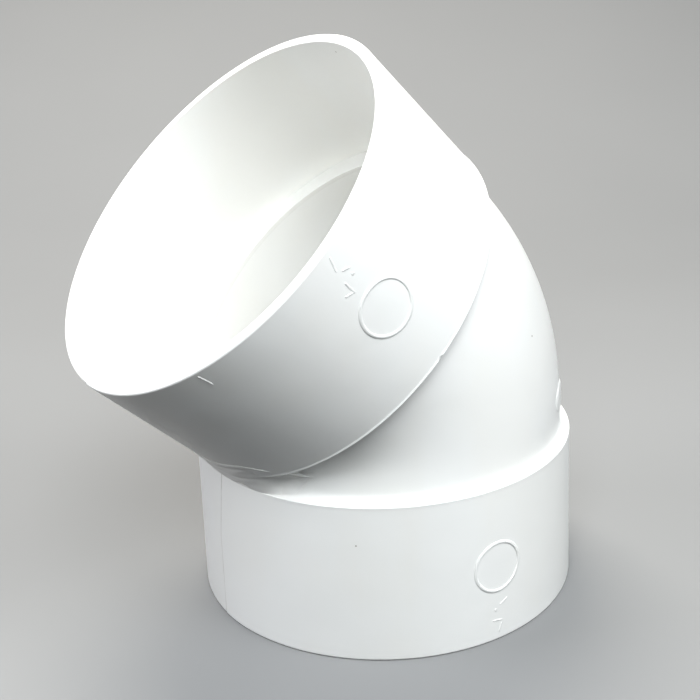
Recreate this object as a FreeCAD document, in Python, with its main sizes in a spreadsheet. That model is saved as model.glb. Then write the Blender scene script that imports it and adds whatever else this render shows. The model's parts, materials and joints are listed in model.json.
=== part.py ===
import FreeCAD, Part
import Sketcher
import os

# A 45 degree elbow for rigid PVC conduit with a socket at each end, moulded in one shot.
# The moulding is divided at its shoulder planes into sockets, stop shoulders and the bend
# tube between them, and its raised moulded marks are nodes of their own.
#
# Frame: the origin is the centre of the lower socket's mouth and +Z runs up that socket's
# axis. The bend lies in the XZ plane and the upper socket leans towards -X. Each socket is
# drawn from its own mouth, at zero, inwards along +Z.

DIMENSIONS = [
    ("hub_length", 49.5, "mouth to the shoulder's outer face, mm"),
    ("socket_depth", 48.0, "mouth to the face that stops the pipe, mm"),
    ("socket_radius", 57.3, "takes a pipe of 114.3 mm outside diameter, mm"),
    ("mouth_radius", 60.4, "outside of a hub at its mouth, mm"),
    ("shoulder_radius", 59.6, "outside of a hub from its stop to its shoulder, mm"),
    ("bore_radius", 51.2, "clear way through the stops and the bend, mm"),
    ("body_radius", 56.5, "outside of the bend tube, mm"),
    ("tangent_length", 7.5, "straight run of the tube beside each shoulder, mm"),
    ("bend_radius", 46.0, "centreline radius of the bend, mm"),
    ("bend_angle", 45.0, "turn from one socket axis to the other, degrees"),
    ("foot_fillet", 2.6, "concave fillet from a shoulder to the tube, mm"),
    ("rim_round", 0.6, "rounding on the outer edge of a mouth, mm"),
    ("shoulder_round", 0.4, "rounding on the outer edge of a shoulder, mm"),
    ("overrun", 2.0, "how far a cutting shape runs past what it cuts, mm"),
    ("ring_radius", 8.1, "outer radius of a raised ring mark, mm"),
    ("ring_width", 0.8, "width of the ring's bead, mm"),
    ("ring_rise", 0.4, "height of the ring's bead above the hub, mm"),
    ("lower_ring_place", 24.5, "lower mouth to its ring's centre, mm"),
    ("upper_ring_place", 25.2, "upper mouth to its ring's centre, mm"),
    ("pad_half_width", 8.0, "heel pad, half its width round the tube, mm"),
    ("pad_half_height", 4.7, "heel pad, half its height, mm"),
    ("pad_crest_radius", 56.9, "tube's centreline to the face of the heel pad, mm"),
    ("pad_place", 12.0, "shoulder to the heel pad's centre, mm"),
    ("pad_bearing", -45.0, "heel pad's bearing about the lower axis from +X, degrees"),
]

FULL_TURN = 360
ALONG_X = FreeCAD.Vector(1, 0, 0)
ALONG_Y = FreeCAD.Vector(0, 1, 0)
ALONG_Z = FreeCAD.Vector(0, 0, 1)
TIP_Z_TO_MINUS_Y = FreeCAD.Rotation(ALONG_X, 90)
SAME_EDGE = 0.01  # mm, within which an edge's radius and height are taken as equal


def cell(alias):
    """The expression that reads one cell of the sheet."""
    return "Dimensions." + alias


def value(doc, alias):
    """The number in one cell of the sheet, where None stands for zero."""
    return 0.0 if alias is None else float(getattr(doc.Dimensions, alias))


BEND_START = f"{cell('hub_length')} + {cell('tangent_length')}"
# Shoulder plane to the point where the two socket axes cross.
SHOULDER_TO_CROSSING = (
    f"{cell('tangent_length')} + {cell('bend_radius')} * tan({cell('bend_angle')} / 2)"
)
CROSSING_HEIGHT = f"{cell('hub_length')} + {SHOULDER_TO_CROSSING}"


def make_sheet(doc):
    """The spreadsheet of driving dimensions: meaning in column A, number in column B."""
    sheet = doc.addObject("Spreadsheet::Sheet", "Dimensions")
    for row, (alias, value, meaning) in enumerate(DIMENSIONS, start=1):
        sheet.set(f"A{row}", meaning)
        sheet.set(f"B{row}", str(value))
        sheet.setAlias(f"B{row}", alias)
    doc.recompute()
    return sheet


def bind(thing, **expressions):
    """Bind properties of a document object to expressions."""
    for name, expression in expressions.items():
        thing.setExpression(name, expression)


def lift(thing, height):
    """Bind the height of an object's placement."""
    thing.setExpression("Placement.Base.z", height)


def place_at_upper_socket(thing, from_mouth):
    """Turn a shape drawn along +Z from a mouth so that it enters the upper socket.

    from_mouth is the expression for how far inside the upper mouth the shape's zero lies.
    """
    half_turn = FreeCAD.Rotation(ALONG_Y, FULL_TURN / 2)
    thing.Placement = FreeCAD.Placement(FreeCAD.Vector(), half_turn)
    reach = f"({SHOULDER_TO_CROSSING} + {cell('hub_length')} - ({from_mouth}))"
    turn = cell("bend_angle")
    thing.setExpression("Placement.Rotation.Angle", f"180 - {turn}")
    thing.setExpression("Placement.Base.x", f"-{reach} * sin({turn})")
    thing.setExpression("Placement.Base.z", f"{CROSSING_HEIGHT} + {reach} * cos({turn})")


# ---- turned pieces: sockets and stop shoulders --------------------------------------


def origin_plane(body, role):
    """One of a body's own origin planes."""
    return next(item for item in body.Origin.OriginFeatures if item.Role == role)


def section_sketch(body, corners):
    """A closed straight-sided half section in the body's XZ plane.

    corners is a list of (radius, height) aliases; a height of None lies on zero.
    """
    doc = body.Document
    sketch = body.newObject("Sketcher::SketchObject", "Section")
    sketch.AttachmentSupport = [(origin_plane(body, "XZ_Plane"), "")]
    sketch.MapMode = "FlatFace"
    points = [FreeCAD.Vector(value(doc, radius), value(doc, height), 0)
              for radius, height in corners]
    following = [(index + 1) % len(points) for index in range(len(points))]
    for index, after in enumerate(following):
        sketch.addGeometry(Part.LineSegment(points[index], points[after]), False)
    for index, after in enumerate(following):
        sketch.addConstraint(Sketcher.Constraint("Coincident", index, 2, after, 1))
    for index, (radius, height) in enumerate(corners):
        dimension(sketch, radius, "DistanceX", -1, 1, index, 1, points[index].x)
        if height is None:
            sketch.addConstraint(Sketcher.Constraint("PointOnObject", index, 1, -1))
        else:
            dimension(sketch, height, "DistanceY", -1, 1, index, 1, points[index].y)
    return sketch


def dimension(sketch, alias, *constraint):
    """Add a dimension to a sketch and bind it to a cell."""
    number = sketch.addConstraint(Sketcher.Constraint(*constraint))
    sketch.setExpression(f"Constraints[{number}]", cell(alias))


def circle_edge(feature, radius, height):
    """Name of the feature's circular edge of this radius at this height."""
    for number, edge in enumerate(feature.Shape.Edges, start=1):
        curve = edge.Curve
        if isinstance(curve, Part.Circle):
            off = max(abs(curve.Radius - radius), abs(curve.Center.z - height))
            if off < SAME_EDGE:
                return f"Edge{number}"
    raise ValueError(f"no edge of radius {radius} at height {height}")


def turned_body(doc, label, corners, sharp_corner, rounding):
    """A body turned about Z from a half section, with the edge at one corner rounded."""
    body = doc.addObject("PartDesign::Body", label)
    sketch = section_sketch(body, corners)
    turned = body.newObject("PartDesign::Revolution", "Turned")
    turned.Profile = sketch
    turned.ReferenceAxis = (sketch, ["V_Axis"])
    turned.Angle = FULL_TURN
    doc.recompute()
    radius, height = (value(doc, alias) for alias in sharp_corner)
    edge_round = body.newObject("PartDesign::Fillet", "EdgeRound")
    edge_round.Base = (turned, [circle_edge(turned, radius, height)])
    bind(edge_round, Radius=cell(rounding))
    return body


def make_socket(doc, label):
    """A hub's wall, from its mouth to the pipe stop, tapering outside by its draft."""
    outer_rim = ("mouth_radius", None)
    corners = [
        ("socket_radius", None),
        outer_rim,
        ("shoulder_radius", "socket_depth"),
        ("socket_radius", "socket_depth"),
    ]
    return turned_body(doc, label, corners, outer_rim, "rim_round")


def make_shoulder(doc, label):
    """The ring-shaped wall that stops the pipe inside and shows as the ledge outside."""
    ledge_edge = ("shoulder_radius", "hub_length")
    corners = [
        ("bore_radius", "socket_depth"),
        ("shoulder_radius", "socket_depth"),
        ledge_edge,
        ("bore_radius", "hub_length"),
    ]
    return turned_body(doc, label, corners, ledge_edge, "shoulder_round")


# ---- the bend tube -------------------------------------------------------------------


def heel_section(doc, name, radius):
    """The part of the tube's round section that lies on the heel side of the bend axis.

    The tube is wider than its bend radius, so only this part is turned about the axis;
    on the throat side the two straight runs meet each other.
    """
    sketch = doc.addObject("Sketcher::SketchObject", name)
    lift(sketch, BEND_START)
    size, inset = value(doc, radius), value(doc, "bend_radius")
    half_chord = (size ** 2 - inset ** 2) ** 0.5
    low = FreeCAD.Vector(-inset, -half_chord, 0)
    high = FreeCAD.Vector(-inset, half_chord, 0)
    sketch.addGeometry(Part.Arc(low, FreeCAD.Vector(size, 0, 0), high), False)
    sketch.addGeometry(Part.LineSegment(high, low), False)
    sketch.addConstraint(Sketcher.Constraint("Coincident", 0, 3, -1, 1))
    sketch.addConstraint(Sketcher.Constraint("Coincident", 0, 2, 1, 1))
    sketch.addConstraint(Sketcher.Constraint("Coincident", 0, 1, 1, 2))
    sketch.addConstraint(Sketcher.Constraint("Vertical", 1))
    dimension(sketch, radius, "Radius", 0, size)
    dimension(sketch, "bend_radius", "DistanceX", 1, 1, -1, 1, inset)
    return sketch


def bend_solid(doc, name, radius, extra="0"):
    """Solid bend of one radius: a straight run, the turned heel, a straight run.

    radius is an alias, and extra the expression for how far each straight run goes past
    its shoulder plane.
    """
    run_length = f"{cell('tangent_length')} + {extra}"
    lower = doc.addObject("Part::Cylinder", name + "LowerRun")
    bind(lower, Radius=cell(radius), Height=run_length)
    lift(lower, f"{cell('hub_length')} - {extra}")
    upper = doc.addObject("Part::Cylinder", name + "UpperRun")
    bind(upper, Radius=cell(radius), Height=run_length)
    place_at_upper_socket(upper, f"{cell('hub_length')} - {extra}")
    heel = doc.addObject("Part::Revolution", name + "Heel")
    heel.Source = heel_section(doc, name + "HeelSection", radius)
    heel.Axis = -ALONG_Y
    heel.Solid = True
    bind(heel, Angle=cell("bend_angle"))
    heel.setExpression("Base.x", f"-{cell('bend_radius')}")
    heel.setExpression("Base.z", BEND_START)
    solid = doc.addObject("Part::MultiFuse", name)
    solid.Shapes = [lower, heel, upper]
    return solid


def foot_fillet_ring(doc, name):
    """Concave fillet round the foot of the tube: a collar less a torus."""
    collar = doc.addObject("Part::Cylinder", name + "Collar")
    reach = f"{cell('body_radius')} + {cell('foot_fillet')}"
    bind(collar, Radius=reach, Height=cell("foot_fillet"))
    hollow = doc.addObject("Part::Torus", name + "Hollow")
    bind(hollow, Radius1=reach, Radius2=cell("foot_fillet"))
    lift(hollow, cell("foot_fillet"))
    ring = doc.addObject("Part::Cut", name)
    ring.Base, ring.Tool = collar, hollow
    return ring


def make_bend_tube(doc, outside):
    """The tube between the two shoulders, with a fillet at each foot and its bore."""
    lower_foot = foot_fillet_ring(doc, "LowerFoot")
    lift(lower_foot, cell("hub_length"))
    upper_foot = foot_fillet_ring(doc, "UpperFoot")
    # This ring rises away from the upper shoulder, towards the bend.
    place_at_upper_socket(upper_foot, cell("hub_length"))
    skin = doc.addObject("Part::MultiFuse", "TubeSkin")
    skin.Shapes = [outside, lower_foot, upper_foot]
    bore = bend_solid(doc, "TubeBore", "bore_radius", cell("overrun"))
    tube = doc.addObject("Part::Cut", "bend_tube")
    tube.Base, tube.Tool = skin, bore
    return tube


# ---- raised moulded marks ------------------------------------------------------------


def hub_cone(doc, name, extra="0"):
    """The outside of a hub as a solid cone, swollen by the expression extra."""
    cone = doc.addObject("Part::Cone", name)
    bind(cone,
         Radius1=f"{cell('mouth_radius')} + {extra}",
         Radius2=f"{cell('shoulder_radius')} + {extra}",
         Height=cell("socket_depth"))
    return cone


def make_ring_mark(doc, label, ring_place):
    """A thin raised ring on the -Y side of a hub, following the hub's outside."""
    outer = doc.addObject("Part::Cylinder", label + "Outer")
    inner = doc.addObject("Part::Cylinder", label + "Inner")
    reach = f"{cell('mouth_radius')} + {cell('overrun')}"
    for rod, radius in (
        (outer, cell("ring_radius")),
        (inner, f"{cell('ring_radius')} - {cell('ring_width')}"),
    ):
        rod.Placement = FreeCAD.Placement(FreeCAD.Vector(), TIP_Z_TO_MINUS_Y)
        bind(rod, Radius=radius, Height=reach)
        lift(rod, ring_place)
    pipe = doc.addObject("Part::Cut", label + "Pipe")
    pipe.Base, pipe.Tool = outer, inner
    raised = doc.addObject("Part::Common", label + "Raised")
    raised.Base = pipe
    raised.Tool = hub_cone(doc, label + "Crest", cell("ring_rise"))
    mark = doc.addObject("Part::Cut", label)
    mark.Base = raised
    mark.Tool = hub_cone(doc, label + "Hub")
    return mark


def make_heel_pad(doc, outside):
    """A low oval pad on the outside of the bend tube."""
    oval = doc.addObject("Part::Ellipse", "PadOval")
    bind(oval, MajorRadius=cell("pad_half_width"), MinorRadius=cell("pad_half_height"))
    prism = doc.addObject("Part::Extrusion", "PadPrism")
    prism.Base = oval
    prism.DirMode = "Custom"
    prism.Dir = ALONG_Z
    prism.Solid = True
    bind(prism, LengthFwd=f"{cell('body_radius')} + {cell('overrun')}")
    # Tipped to face -Y, then turned to its bearing, with the oval's long axis level.
    face_bearing = FreeCAD.Rotation(ALONG_Z, value(doc, "pad_bearing") + FULL_TURN / 4)
    prism.Placement = FreeCAD.Placement(
        FreeCAD.Vector(), face_bearing.multiply(TIP_Z_TO_MINUS_Y))
    lift(prism, f"{cell('hub_length')} + {cell('pad_place')}")
    crest = bend_solid(doc, "PadCrest", "pad_crest_radius")
    raised = doc.addObject("Part::Common", "PadRaised")
    raised.Base, raised.Tool = prism, crest
    pad = doc.addObject("Part::Cut", "heel_pad")
    pad.Base, pad.Tool = raised, outside
    return pad


# ---- the whole elbow -----------------------------------------------------------------


def make_elbow(doc):
    """Every sub-part of the elbow, in the order from the lower mouth to the upper."""
    outside = bend_solid(doc, "TubeOutside", "body_radius")
    upper_pieces = [
        make_shoulder(doc, "upper_stop_shoulder"),
        make_socket(doc, "upper_socket"),
        make_ring_mark(doc, "upper_ring_mark", cell("upper_ring_place")),
    ]
    for piece in upper_pieces:
        place_at_upper_socket(piece, "0")
    return [
        make_socket(doc, "lower_socket"),
        make_ring_mark(doc, "lower_ring_mark", cell("lower_ring_place")),
        make_shoulder(doc, "lower_stop_shoulder"),
        make_bend_tube(doc, outside),
        make_heel_pad(doc, outside),
    ] + upper_pieces


def check(doc, pieces):
    """Stop on any object that failed, or any sub-part that isn't one sound solid."""
    for thing in doc.Objects:
        if "Invalid" in thing.State or "Error" in thing.State:
            raise RuntimeError(f"{thing.Label} failed: {thing.State}")
    for piece in pieces:
        shape = piece.Shape
        if shape.isNull() or not shape.isValid() or len(shape.Solids) != 1:
            raise RuntimeError(f"{piece.Label} is not one sound solid")


def export(pieces):
    """Write each sub-part to parts/ under its own name."""
    os.makedirs("parts", exist_ok=True)
    for piece in pieces:
        piece.Shape.exportStep(f"parts/{piece.Label}.step")
        box = piece.Shape.BoundBox
        print(f"{piece.Label}: {piece.Shape.Volume:.1f} mm3,"
              f" x {box.XMin:.2f}..{box.XMax:.2f},"
              f" y {box.YMin:.2f}..{box.YMax:.2f}, z {box.ZMin:.2f}..{box.ZMax:.2f}")


document = FreeCAD.newDocument("conduit_elbow")
make_sheet(document)
sub_parts = make_elbow(document)
document.recompute()
check(document, sub_parts)
export(sub_parts)
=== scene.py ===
import json
import logging
import math
from dataclasses import dataclass
from enum import Enum
from typing import Any, Sequence

import bmesh
import bpy
import numpy as np
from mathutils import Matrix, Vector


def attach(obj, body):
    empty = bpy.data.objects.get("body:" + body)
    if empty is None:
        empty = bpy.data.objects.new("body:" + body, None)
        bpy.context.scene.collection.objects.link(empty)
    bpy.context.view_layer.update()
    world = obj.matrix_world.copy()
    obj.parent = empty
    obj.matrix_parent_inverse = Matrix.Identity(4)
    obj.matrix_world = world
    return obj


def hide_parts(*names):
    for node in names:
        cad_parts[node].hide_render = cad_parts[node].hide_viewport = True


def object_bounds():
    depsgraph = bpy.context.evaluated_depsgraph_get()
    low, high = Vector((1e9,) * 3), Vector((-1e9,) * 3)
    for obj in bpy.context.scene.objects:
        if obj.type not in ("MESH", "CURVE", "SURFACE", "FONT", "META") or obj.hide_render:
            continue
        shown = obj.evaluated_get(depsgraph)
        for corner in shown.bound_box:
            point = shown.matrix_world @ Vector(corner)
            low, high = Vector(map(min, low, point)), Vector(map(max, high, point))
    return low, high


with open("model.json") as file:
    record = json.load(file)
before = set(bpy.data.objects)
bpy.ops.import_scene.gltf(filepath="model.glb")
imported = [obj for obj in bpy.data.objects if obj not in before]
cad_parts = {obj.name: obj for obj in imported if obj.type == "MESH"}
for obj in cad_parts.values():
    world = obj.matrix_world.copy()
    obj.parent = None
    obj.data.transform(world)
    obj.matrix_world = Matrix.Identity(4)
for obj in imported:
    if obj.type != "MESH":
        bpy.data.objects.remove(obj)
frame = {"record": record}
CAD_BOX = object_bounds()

# White moulded PVC conduit elbow: two sockets joined by a bend of 45 degrees.
#
# The elbow is one moulding. Its named regions are built here as closed shells that meet
# face to face: a socket wall and a stop ring at each end, the bend tube between them, the
# web in its throat, and the raised marks on the outside. Sizes are in millimetres until a
# surface is placed, and in metres after that.

MM = 0.001
BODY = "root"
POLE_GAP = 2e-7
SHARP_EDGE = math.radians(32.0)
SEAM_STRAY = math.radians(11.0)
TURN = 2.0 * math.pi
QUARTER = math.pi / 2.0
LOG = logging.getLogger("elbow")

Array = np.ndarray
Span = tuple[float, float]
Triple = tuple[float, float, float]


# ---- shapes of numbers ----


def smooth_step(low: float, high: float, value: Array) -> Array:
    """3 t squared less 2 t cubed, t being the share of the way from low to high."""
    t = np.clip((value - low) / (high - low), 0.0, 1.0)
    return t * t * (3.0 - 2.0 * t)


def soft_larger(first: Array, second: Array | float, blend: float) -> Array:
    """Half of the sum plus the root of the squared difference and squared blend."""
    return 0.5 * (first + second + np.sqrt((first - second) ** 2 + blend**2))


def soft_smaller(first: Array, second: Array | float, blend: float) -> Array:
    """The smaller of two values, with the change-over rounded off."""
    return -soft_larger(-first, -second, blend)


def wrapped(angle: Array) -> Array:
    """Angles in radians brought between minus half a turn and half a turn."""
    return (angle + math.pi) % TURN - math.pi


def bump(distance: Array, width: float) -> Array:
    """A bell curve: e to the minus squared distance over width."""
    return np.exp(-((distance / width) ** 2))


def signed_power(value: Array, power: float) -> Array:
    """The value's size to a power, with the value's own sign."""
    return np.sign(value) * np.abs(value) ** power


def points_of(x: Array, y: Array, z: Array) -> Array:
    """Three coordinates of any grids that fit together, put side by side."""
    return np.stack(np.broadcast_arrays(x, y, z), axis=-1)


def put(name: str, data: Any) -> bpy.types.Object:
    """Puts a new object in the scene.

    Args:
        name: Its name.
        data: Its mesh, light or camera.

    Returns:
        The object.
    """
    made = bpy.data.objects.new(name, data)
    bpy.context.scene.collection.objects.link(made)
    return made


# ---- from surfaces to pieces ----


@dataclass
class Sheet:
    """A surface as a grid of points, the first index going round and the second along.

    Attributes:
        points: Grid of points in metres.
        closed_along: Whether the last column joins the first.
        closed_around: Whether the last row joins the first.
        soil_and_painted_shade: How much each point is darkened, 0 to 1: painted shade in
            corners, creases, seams and the throat, with some soiling.
        wear: How much each point is rubbed, 0 to 1.
    """

    points: Array
    closed_along: bool = True
    closed_around: bool = True
    soil_and_painted_shade: Array | None = None
    wear: Array | None = None

    def quads(self, start: int) -> Array:
        """Corner numbers of the grid's four-sided faces, turned outwards.

        The closed surface's volume is a sixth of the sum of its triangles' triple products.
        Where it comes out below zero, the rows are turned round.

        Args:
            start: Number of the grid's first point in its mesh.

        Returns:
            One row of four corner numbers for each face.
        """
        rows, columns = self.points.shape[:2]
        across = np.arange(columns if self.closed_along else columns - 1)
        round_it = np.arange(rows if self.closed_around else rows - 1)
        i, j = np.meshgrid(round_it, across, indexing="ij")
        ni, nj = (i + 1) % rows, (j + 1) % columns
        corners = (i * columns + j, ni * columns + j, ni * columns + nj, i * columns + nj)
        faces = np.stack(corners, axis=-1).reshape(-1, 4)
        spots = self.points.reshape(-1, 3)
        a, b, c, d = (spots[faces[:, k]] - spots.mean(axis=0) for k in range(4))
        volume = np.sum(a * (np.cross(b, c) + np.cross(c, d)))
        return start + (faces if volume > 0.0 else faces[:, ::-1])

    def mask(self, name: str) -> Array:
        """The grime or wear of each point as one flat list.

        Args:
            name: Which of the two.

        Returns:
            Values from 0 to 1, 0 where there is none.
        """
        values = getattr(self, name)
        count = self.points.shape[0] * self.points.shape[1]
        return np.zeros(count) if values is None else np.clip(values, 0.0, 1.0).ravel()


class PieceMaker:
    """Turns surfaces into pieces of the elbow, hung on its body, and hides the CAD nodes
    they stand for.
    """

    def __init__(self, plastic: bpy.types.Material) -> None:
        """Keeps the finish that every piece takes."""
        self.plastic = plastic

    @staticmethod
    def close_poles(mesh: bpy.types.Mesh) -> None:
        """Joins the points that lie on one spot, as a surface's poles do.

        Args:
            mesh: Mesh to mend.
        """
        work = bmesh.new()
        work.from_mesh(mesh)
        bmesh.ops.remove_doubles(work, verts=work.verts, dist=POLE_GAP)
        work.to_mesh(mesh)
        work.free()

    def piece(self, name: str, sheets: Sequence[Sheet], *nodes: str) -> bpy.types.Object:
        """Makes one piece from its surfaces.

        Args:
            name: Name of the piece.
            sheets: Closed surfaces that make it up.
            nodes: CAD nodes that it stands for, if any.

        Returns:
            The piece, riding on the elbow's body.
        """
        sizes = [s.points.shape[0] * s.points.shape[1] for s in sheets]
        starts = np.concatenate(([0], np.cumsum(sizes)[:-1])).astype(int)
        points = np.concatenate([s.points.reshape(-1, 3) for s in sheets])
        quads = np.concatenate([s.quads(int(k)) for s, k in zip(sheets, starts)])
        mesh = bpy.data.meshes.new(name)
        mesh.vertices.add(len(points))
        mesh.vertices.foreach_set("co", points.astype(np.float32).ravel())
        mesh.loops.add(quads.size)
        mesh.loops.foreach_set("vertex_index", quads.astype(np.int32).ravel())
        mesh.polygons.add(len(quads))
        starts_of_faces = np.arange(0, quads.size, 4, dtype=np.int32)
        mesh.polygons.foreach_set("loop_start", starts_of_faces)
        mesh.update(calc_edges=True)
        # Grime darkens the colour, as painted shade in hollows with some soiling; wear only
        # adds roughness.
        for mask in ("soil_and_painted_shade", "wear"):
            values = np.concatenate([s.mask(mask) for s in sheets]).astype(np.float32)
            mesh.attributes.new(mask, "FLOAT", "POINT").data.foreach_set("value", values)
        self.close_poles(mesh)
        mesh.validate()
        mesh.shade_smooth()
        mesh.set_sharp_from_angle(angle=SHARP_EDGE)
        mesh.materials.append(self.plastic)
        made = put(name, mesh)
        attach(made, BODY)
        if nodes:
            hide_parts(*nodes)
        LOG.info("%s: %d points, %d faces", name, len(points), len(quads))
        return made


# ---- finishes ----


class NodeKit:
    """Short ways to add nodes to one material."""

    def __init__(self, name: str) -> None:
        """Starts an empty material with a principled surface.

        Args:
            name: Name of the material.
        """
        self.material = bpy.data.materials.new(name)
        self.material.use_nodes = True
        self.tree = self.material.node_tree
        self.tree.nodes.clear()
        self.out = self.tree.nodes.new("ShaderNodeOutputMaterial")
        self.surface = self.tree.nodes.new("ShaderNodeBsdfPrincipled")
        self.link(self.surface.outputs["BSDF"], self.out.inputs["Surface"])
        self.place = self.tree.nodes.new("ShaderNodeTexCoord").outputs["Object"]

    def link(self, source: Any, target: Any) -> None:
        """Joins an output socket to an input socket."""
        self.tree.links.new(source, target)

    def add(self, kind: str, output: str | int, inputs: dict, **settings: str) -> Any:
        """Adds one node.

        Args:
            kind: Its kind, as its type's name ends.
            output: Name or number of the output socket that is wanted.
            inputs: A socket or a value for each input, by name or number.
            settings: The node's own settings.

        Returns:
            The output socket.
        """
        node = self.tree.nodes.new("ShaderNode" + kind)
        for key, value in settings.items():
            setattr(node, key, value)
        for key, value in inputs.items():
            if isinstance(value, bpy.types.NodeSocket):
                self.link(value, node.inputs[key])
            else:
                node.inputs[key].default_value = value
        return node.outputs[output]

    def stretched(self, scale: Triple) -> Any:
        """Object coordinates stretched by factors along X, Y and Z."""
        return self.add("Mapping", "Vector", {"Scale": scale, "Vector": self.place})

    def noise(self, scale: float, detail: float, rough: float, place: Any = None) -> Any:
        """Clouds about 0.5 on average: so many to the metre, with finer layers."""
        inputs = {"Scale": scale, "Detail": detail, "Roughness": rough}
        return self.add("TexNoise", "Fac", {**inputs, "Vector": place or self.place})

    def ranged(self, source: Any, span: Span, to: Span) -> Any:
        """A value moved from one range to another, held at the ends."""
        ends = dict(zip(("From Min", "From Max", "To Min", "To Max"), span + to))
        return self.add("MapRange", "Result", {**ends, "Value": source})

    def sum_of(self, operation: str, first: Any, second: Any) -> Any:
        """Two sockets or numbers put through one sum, such as ADD or MULTIPLY."""
        return self.add("Math", "Value", {0: first, 1: second}, operation=operation)

    def mixed(self, share: Any, first: Any, second: Any) -> Any:
        """Two colours or sockets mixed, the share being the second one's."""
        a, b = ((*c, 1.0) if isinstance(c, tuple) else c for c in (first, second))
        return self.add("Mix", 2, {"Factor": share, 6: a, 7: b}, data_type="RGBA")

    def away_from(self, spot: Triple) -> Any:
        """The distance in metres from one spot on the object."""
        inputs = {0: self.place, 1: spot}
        return self.add("VectorMath", "Value", inputs, operation="DISTANCE")

    def attribute(self, name: str) -> Any:
        """A piece's own mask of that name."""
        return self.add("Attribute", "Fac", {}, attribute_name=name)

    def relief(self, height: Any, depth: float, under: Any = None) -> Any:
        """Relief that tilts the shading, so many metres deep, on another relief or none."""
        base = {} if under is None else {"Normal": under}
        return self.add("Bump", "Normal", {
            "Strength": 1.0, "Distance": depth, "Height": height, **base})


@dataclass(frozen=True)
class MouldedPvc:
    """Satin white PVC as it leaves the mould, lightly handled.

    Attributes:
        white: Main colour.
        warm: Colour of the yellower clouds.
        darkening: Colour laid in corners, creases, seams and the throat: painted shade
            there, with some soiling.
        speck: Colour of the few dark grains.
        grains: Each grain's place in metres, and its radius.
        gloss_low: Roughness of the glossiest spots.
        gloss_high: Roughness of the dullest spots.
        rubbed: Roughness added on worn edges.
    """

    white: Triple = (0.880, 0.886, 0.870)
    warm: Triple = (0.876, 0.876, 0.850)
    darkening: Triple = (0.36, 0.33, 0.28)
    speck: Triple = (0.22, 0.19, 0.15)
    grains: tuple[tuple[float, float, float, float], ...] = (
        (-0.0395, -0.0449, 0.0376, 0.00030),
        (0.0203, -0.0495, 0.0881, 0.00036),
        (-0.0102, 0.0016, 0.1673, 0.00034),
        (0.0554, 0.0231, 0.0215, 0.00028),
    )
    gloss_low: float = 0.30
    gloss_high: float = 0.43
    rubbed: float = 0.16

    def build(self) -> bpy.types.Material:
        """Makes the material.

        Returns:
            The finished material.
        """
        kit = NodeKit("moulded_white_pvc")
        clouds = kit.noise(26.0, 3.0, 0.5)
        flow = kit.noise(1.0, 4.0, 0.55, kit.stretched((42.0, 42.0, 7.0)))
        tone = kit.sum_of("MULTIPLY", clouds, kit.ranged(flow, (0.3, 0.7), (0.6, 1.4)))
        share = kit.ranged(tone, (0.38, 0.62), (0.0, 1.0))
        colour = kit.mixed(share, self.white, self.warm)

        # The grime mask mixes in the dark colour: painted shade in corners, creases, seams
        # and the throat, with some soiling.
        patchiness = kit.noise(150.0, 5.0, 0.6)
        soil_and_painted_shade = kit.sum_of("MULTIPLY", kit.attribute("soil_and_painted_shade"),
                           kit.ranged(patchiness, (0.34, 0.60), (0.35, 1.0)))
        colour = kit.mixed(soil_and_painted_shade, colour, self.darkening)

        for *spot, radius in self.grains:
            away = kit.away_from(tuple(spot))
            grain = kit.ranged(away, (0.5 * radius, radius), (0.9, 0.0))
            colour = kit.mixed(grain, colour, self.speck)
        kit.link(colour, kit.surface.inputs["Base Color"])

        scuffs = kit.noise(1.0, 6.0, 0.65, kit.stretched((900.0, 900.0, 60.0)))
        gloss = kit.ranged(kit.noise(95.0, 4.0, 0.6), (0.32, 0.68),
                           (self.gloss_low, self.gloss_high))
        gloss = kit.sum_of("ADD", gloss, kit.ranged(scuffs, (0.52, 0.72), (0.0, 0.07)))
        gloss = kit.sum_of("ADD", gloss, kit.sum_of(
            "MULTIPLY", kit.attribute("wear"), self.rubbed))
        gloss = kit.sum_of("ADD", gloss, kit.sum_of("MULTIPLY", soil_and_painted_shade, 0.30))
        kit.link(gloss, kit.surface.inputs["Roughness"])

        swell = kit.relief(kit.noise(60.0, 2.0, 0.5), 0.00022)
        peel = kit.relief(kit.noise(420.0, 3.0, 0.55), 0.000022, swell)
        grainy = kit.relief(kit.noise(2300.0, 2.0, 0.6), 0.0000042, peel)
        kit.link(kit.relief(scuffs, 0.0000035, grainy), kit.surface.inputs["Normal"])
        kit.surface.inputs["IOR"].default_value = 1.53
        kit.surface.inputs["Specular IOR Level"].default_value = 0.5
        return kit.material


@dataclass(frozen=True)
class PaleFloor:
    """Matt pale grey studio floor.

    Attributes:
        shade: Main colour.
        shade_low: Colour of its faint darker clouds.
        roughness: How dull it is.
    """

    shade: Triple = (0.250, 0.253, 0.256)
    shade_low: Triple = (0.238, 0.241, 0.244)
    roughness: float = 0.78

    def build(self) -> bpy.types.Material:
        """Makes the material.

        Returns:
            The finished material.
        """
        kit = NodeKit("pale_floor")
        clouds = kit.noise(3.0, 3.0, 0.5)
        colour = kit.mixed(kit.ranged(clouds, (0.35, 0.65), (0.0, 1.0)),
                           self.shade, self.shade_low)
        kit.link(colour, kit.surface.inputs["Base Color"])
        kit.surface.inputs["Roughness"].default_value = self.roughness
        return kit.material


# ---- where things are ----


class End(Enum):
    """The two ends of the elbow."""

    LOWER = "lower"
    UPPER = "upper"


class Seam(Enum):
    """The two places where the mould's halves meet, as a heading in the tube's turn."""

    HEEL = 0.0
    THROAT = 180.0


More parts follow.
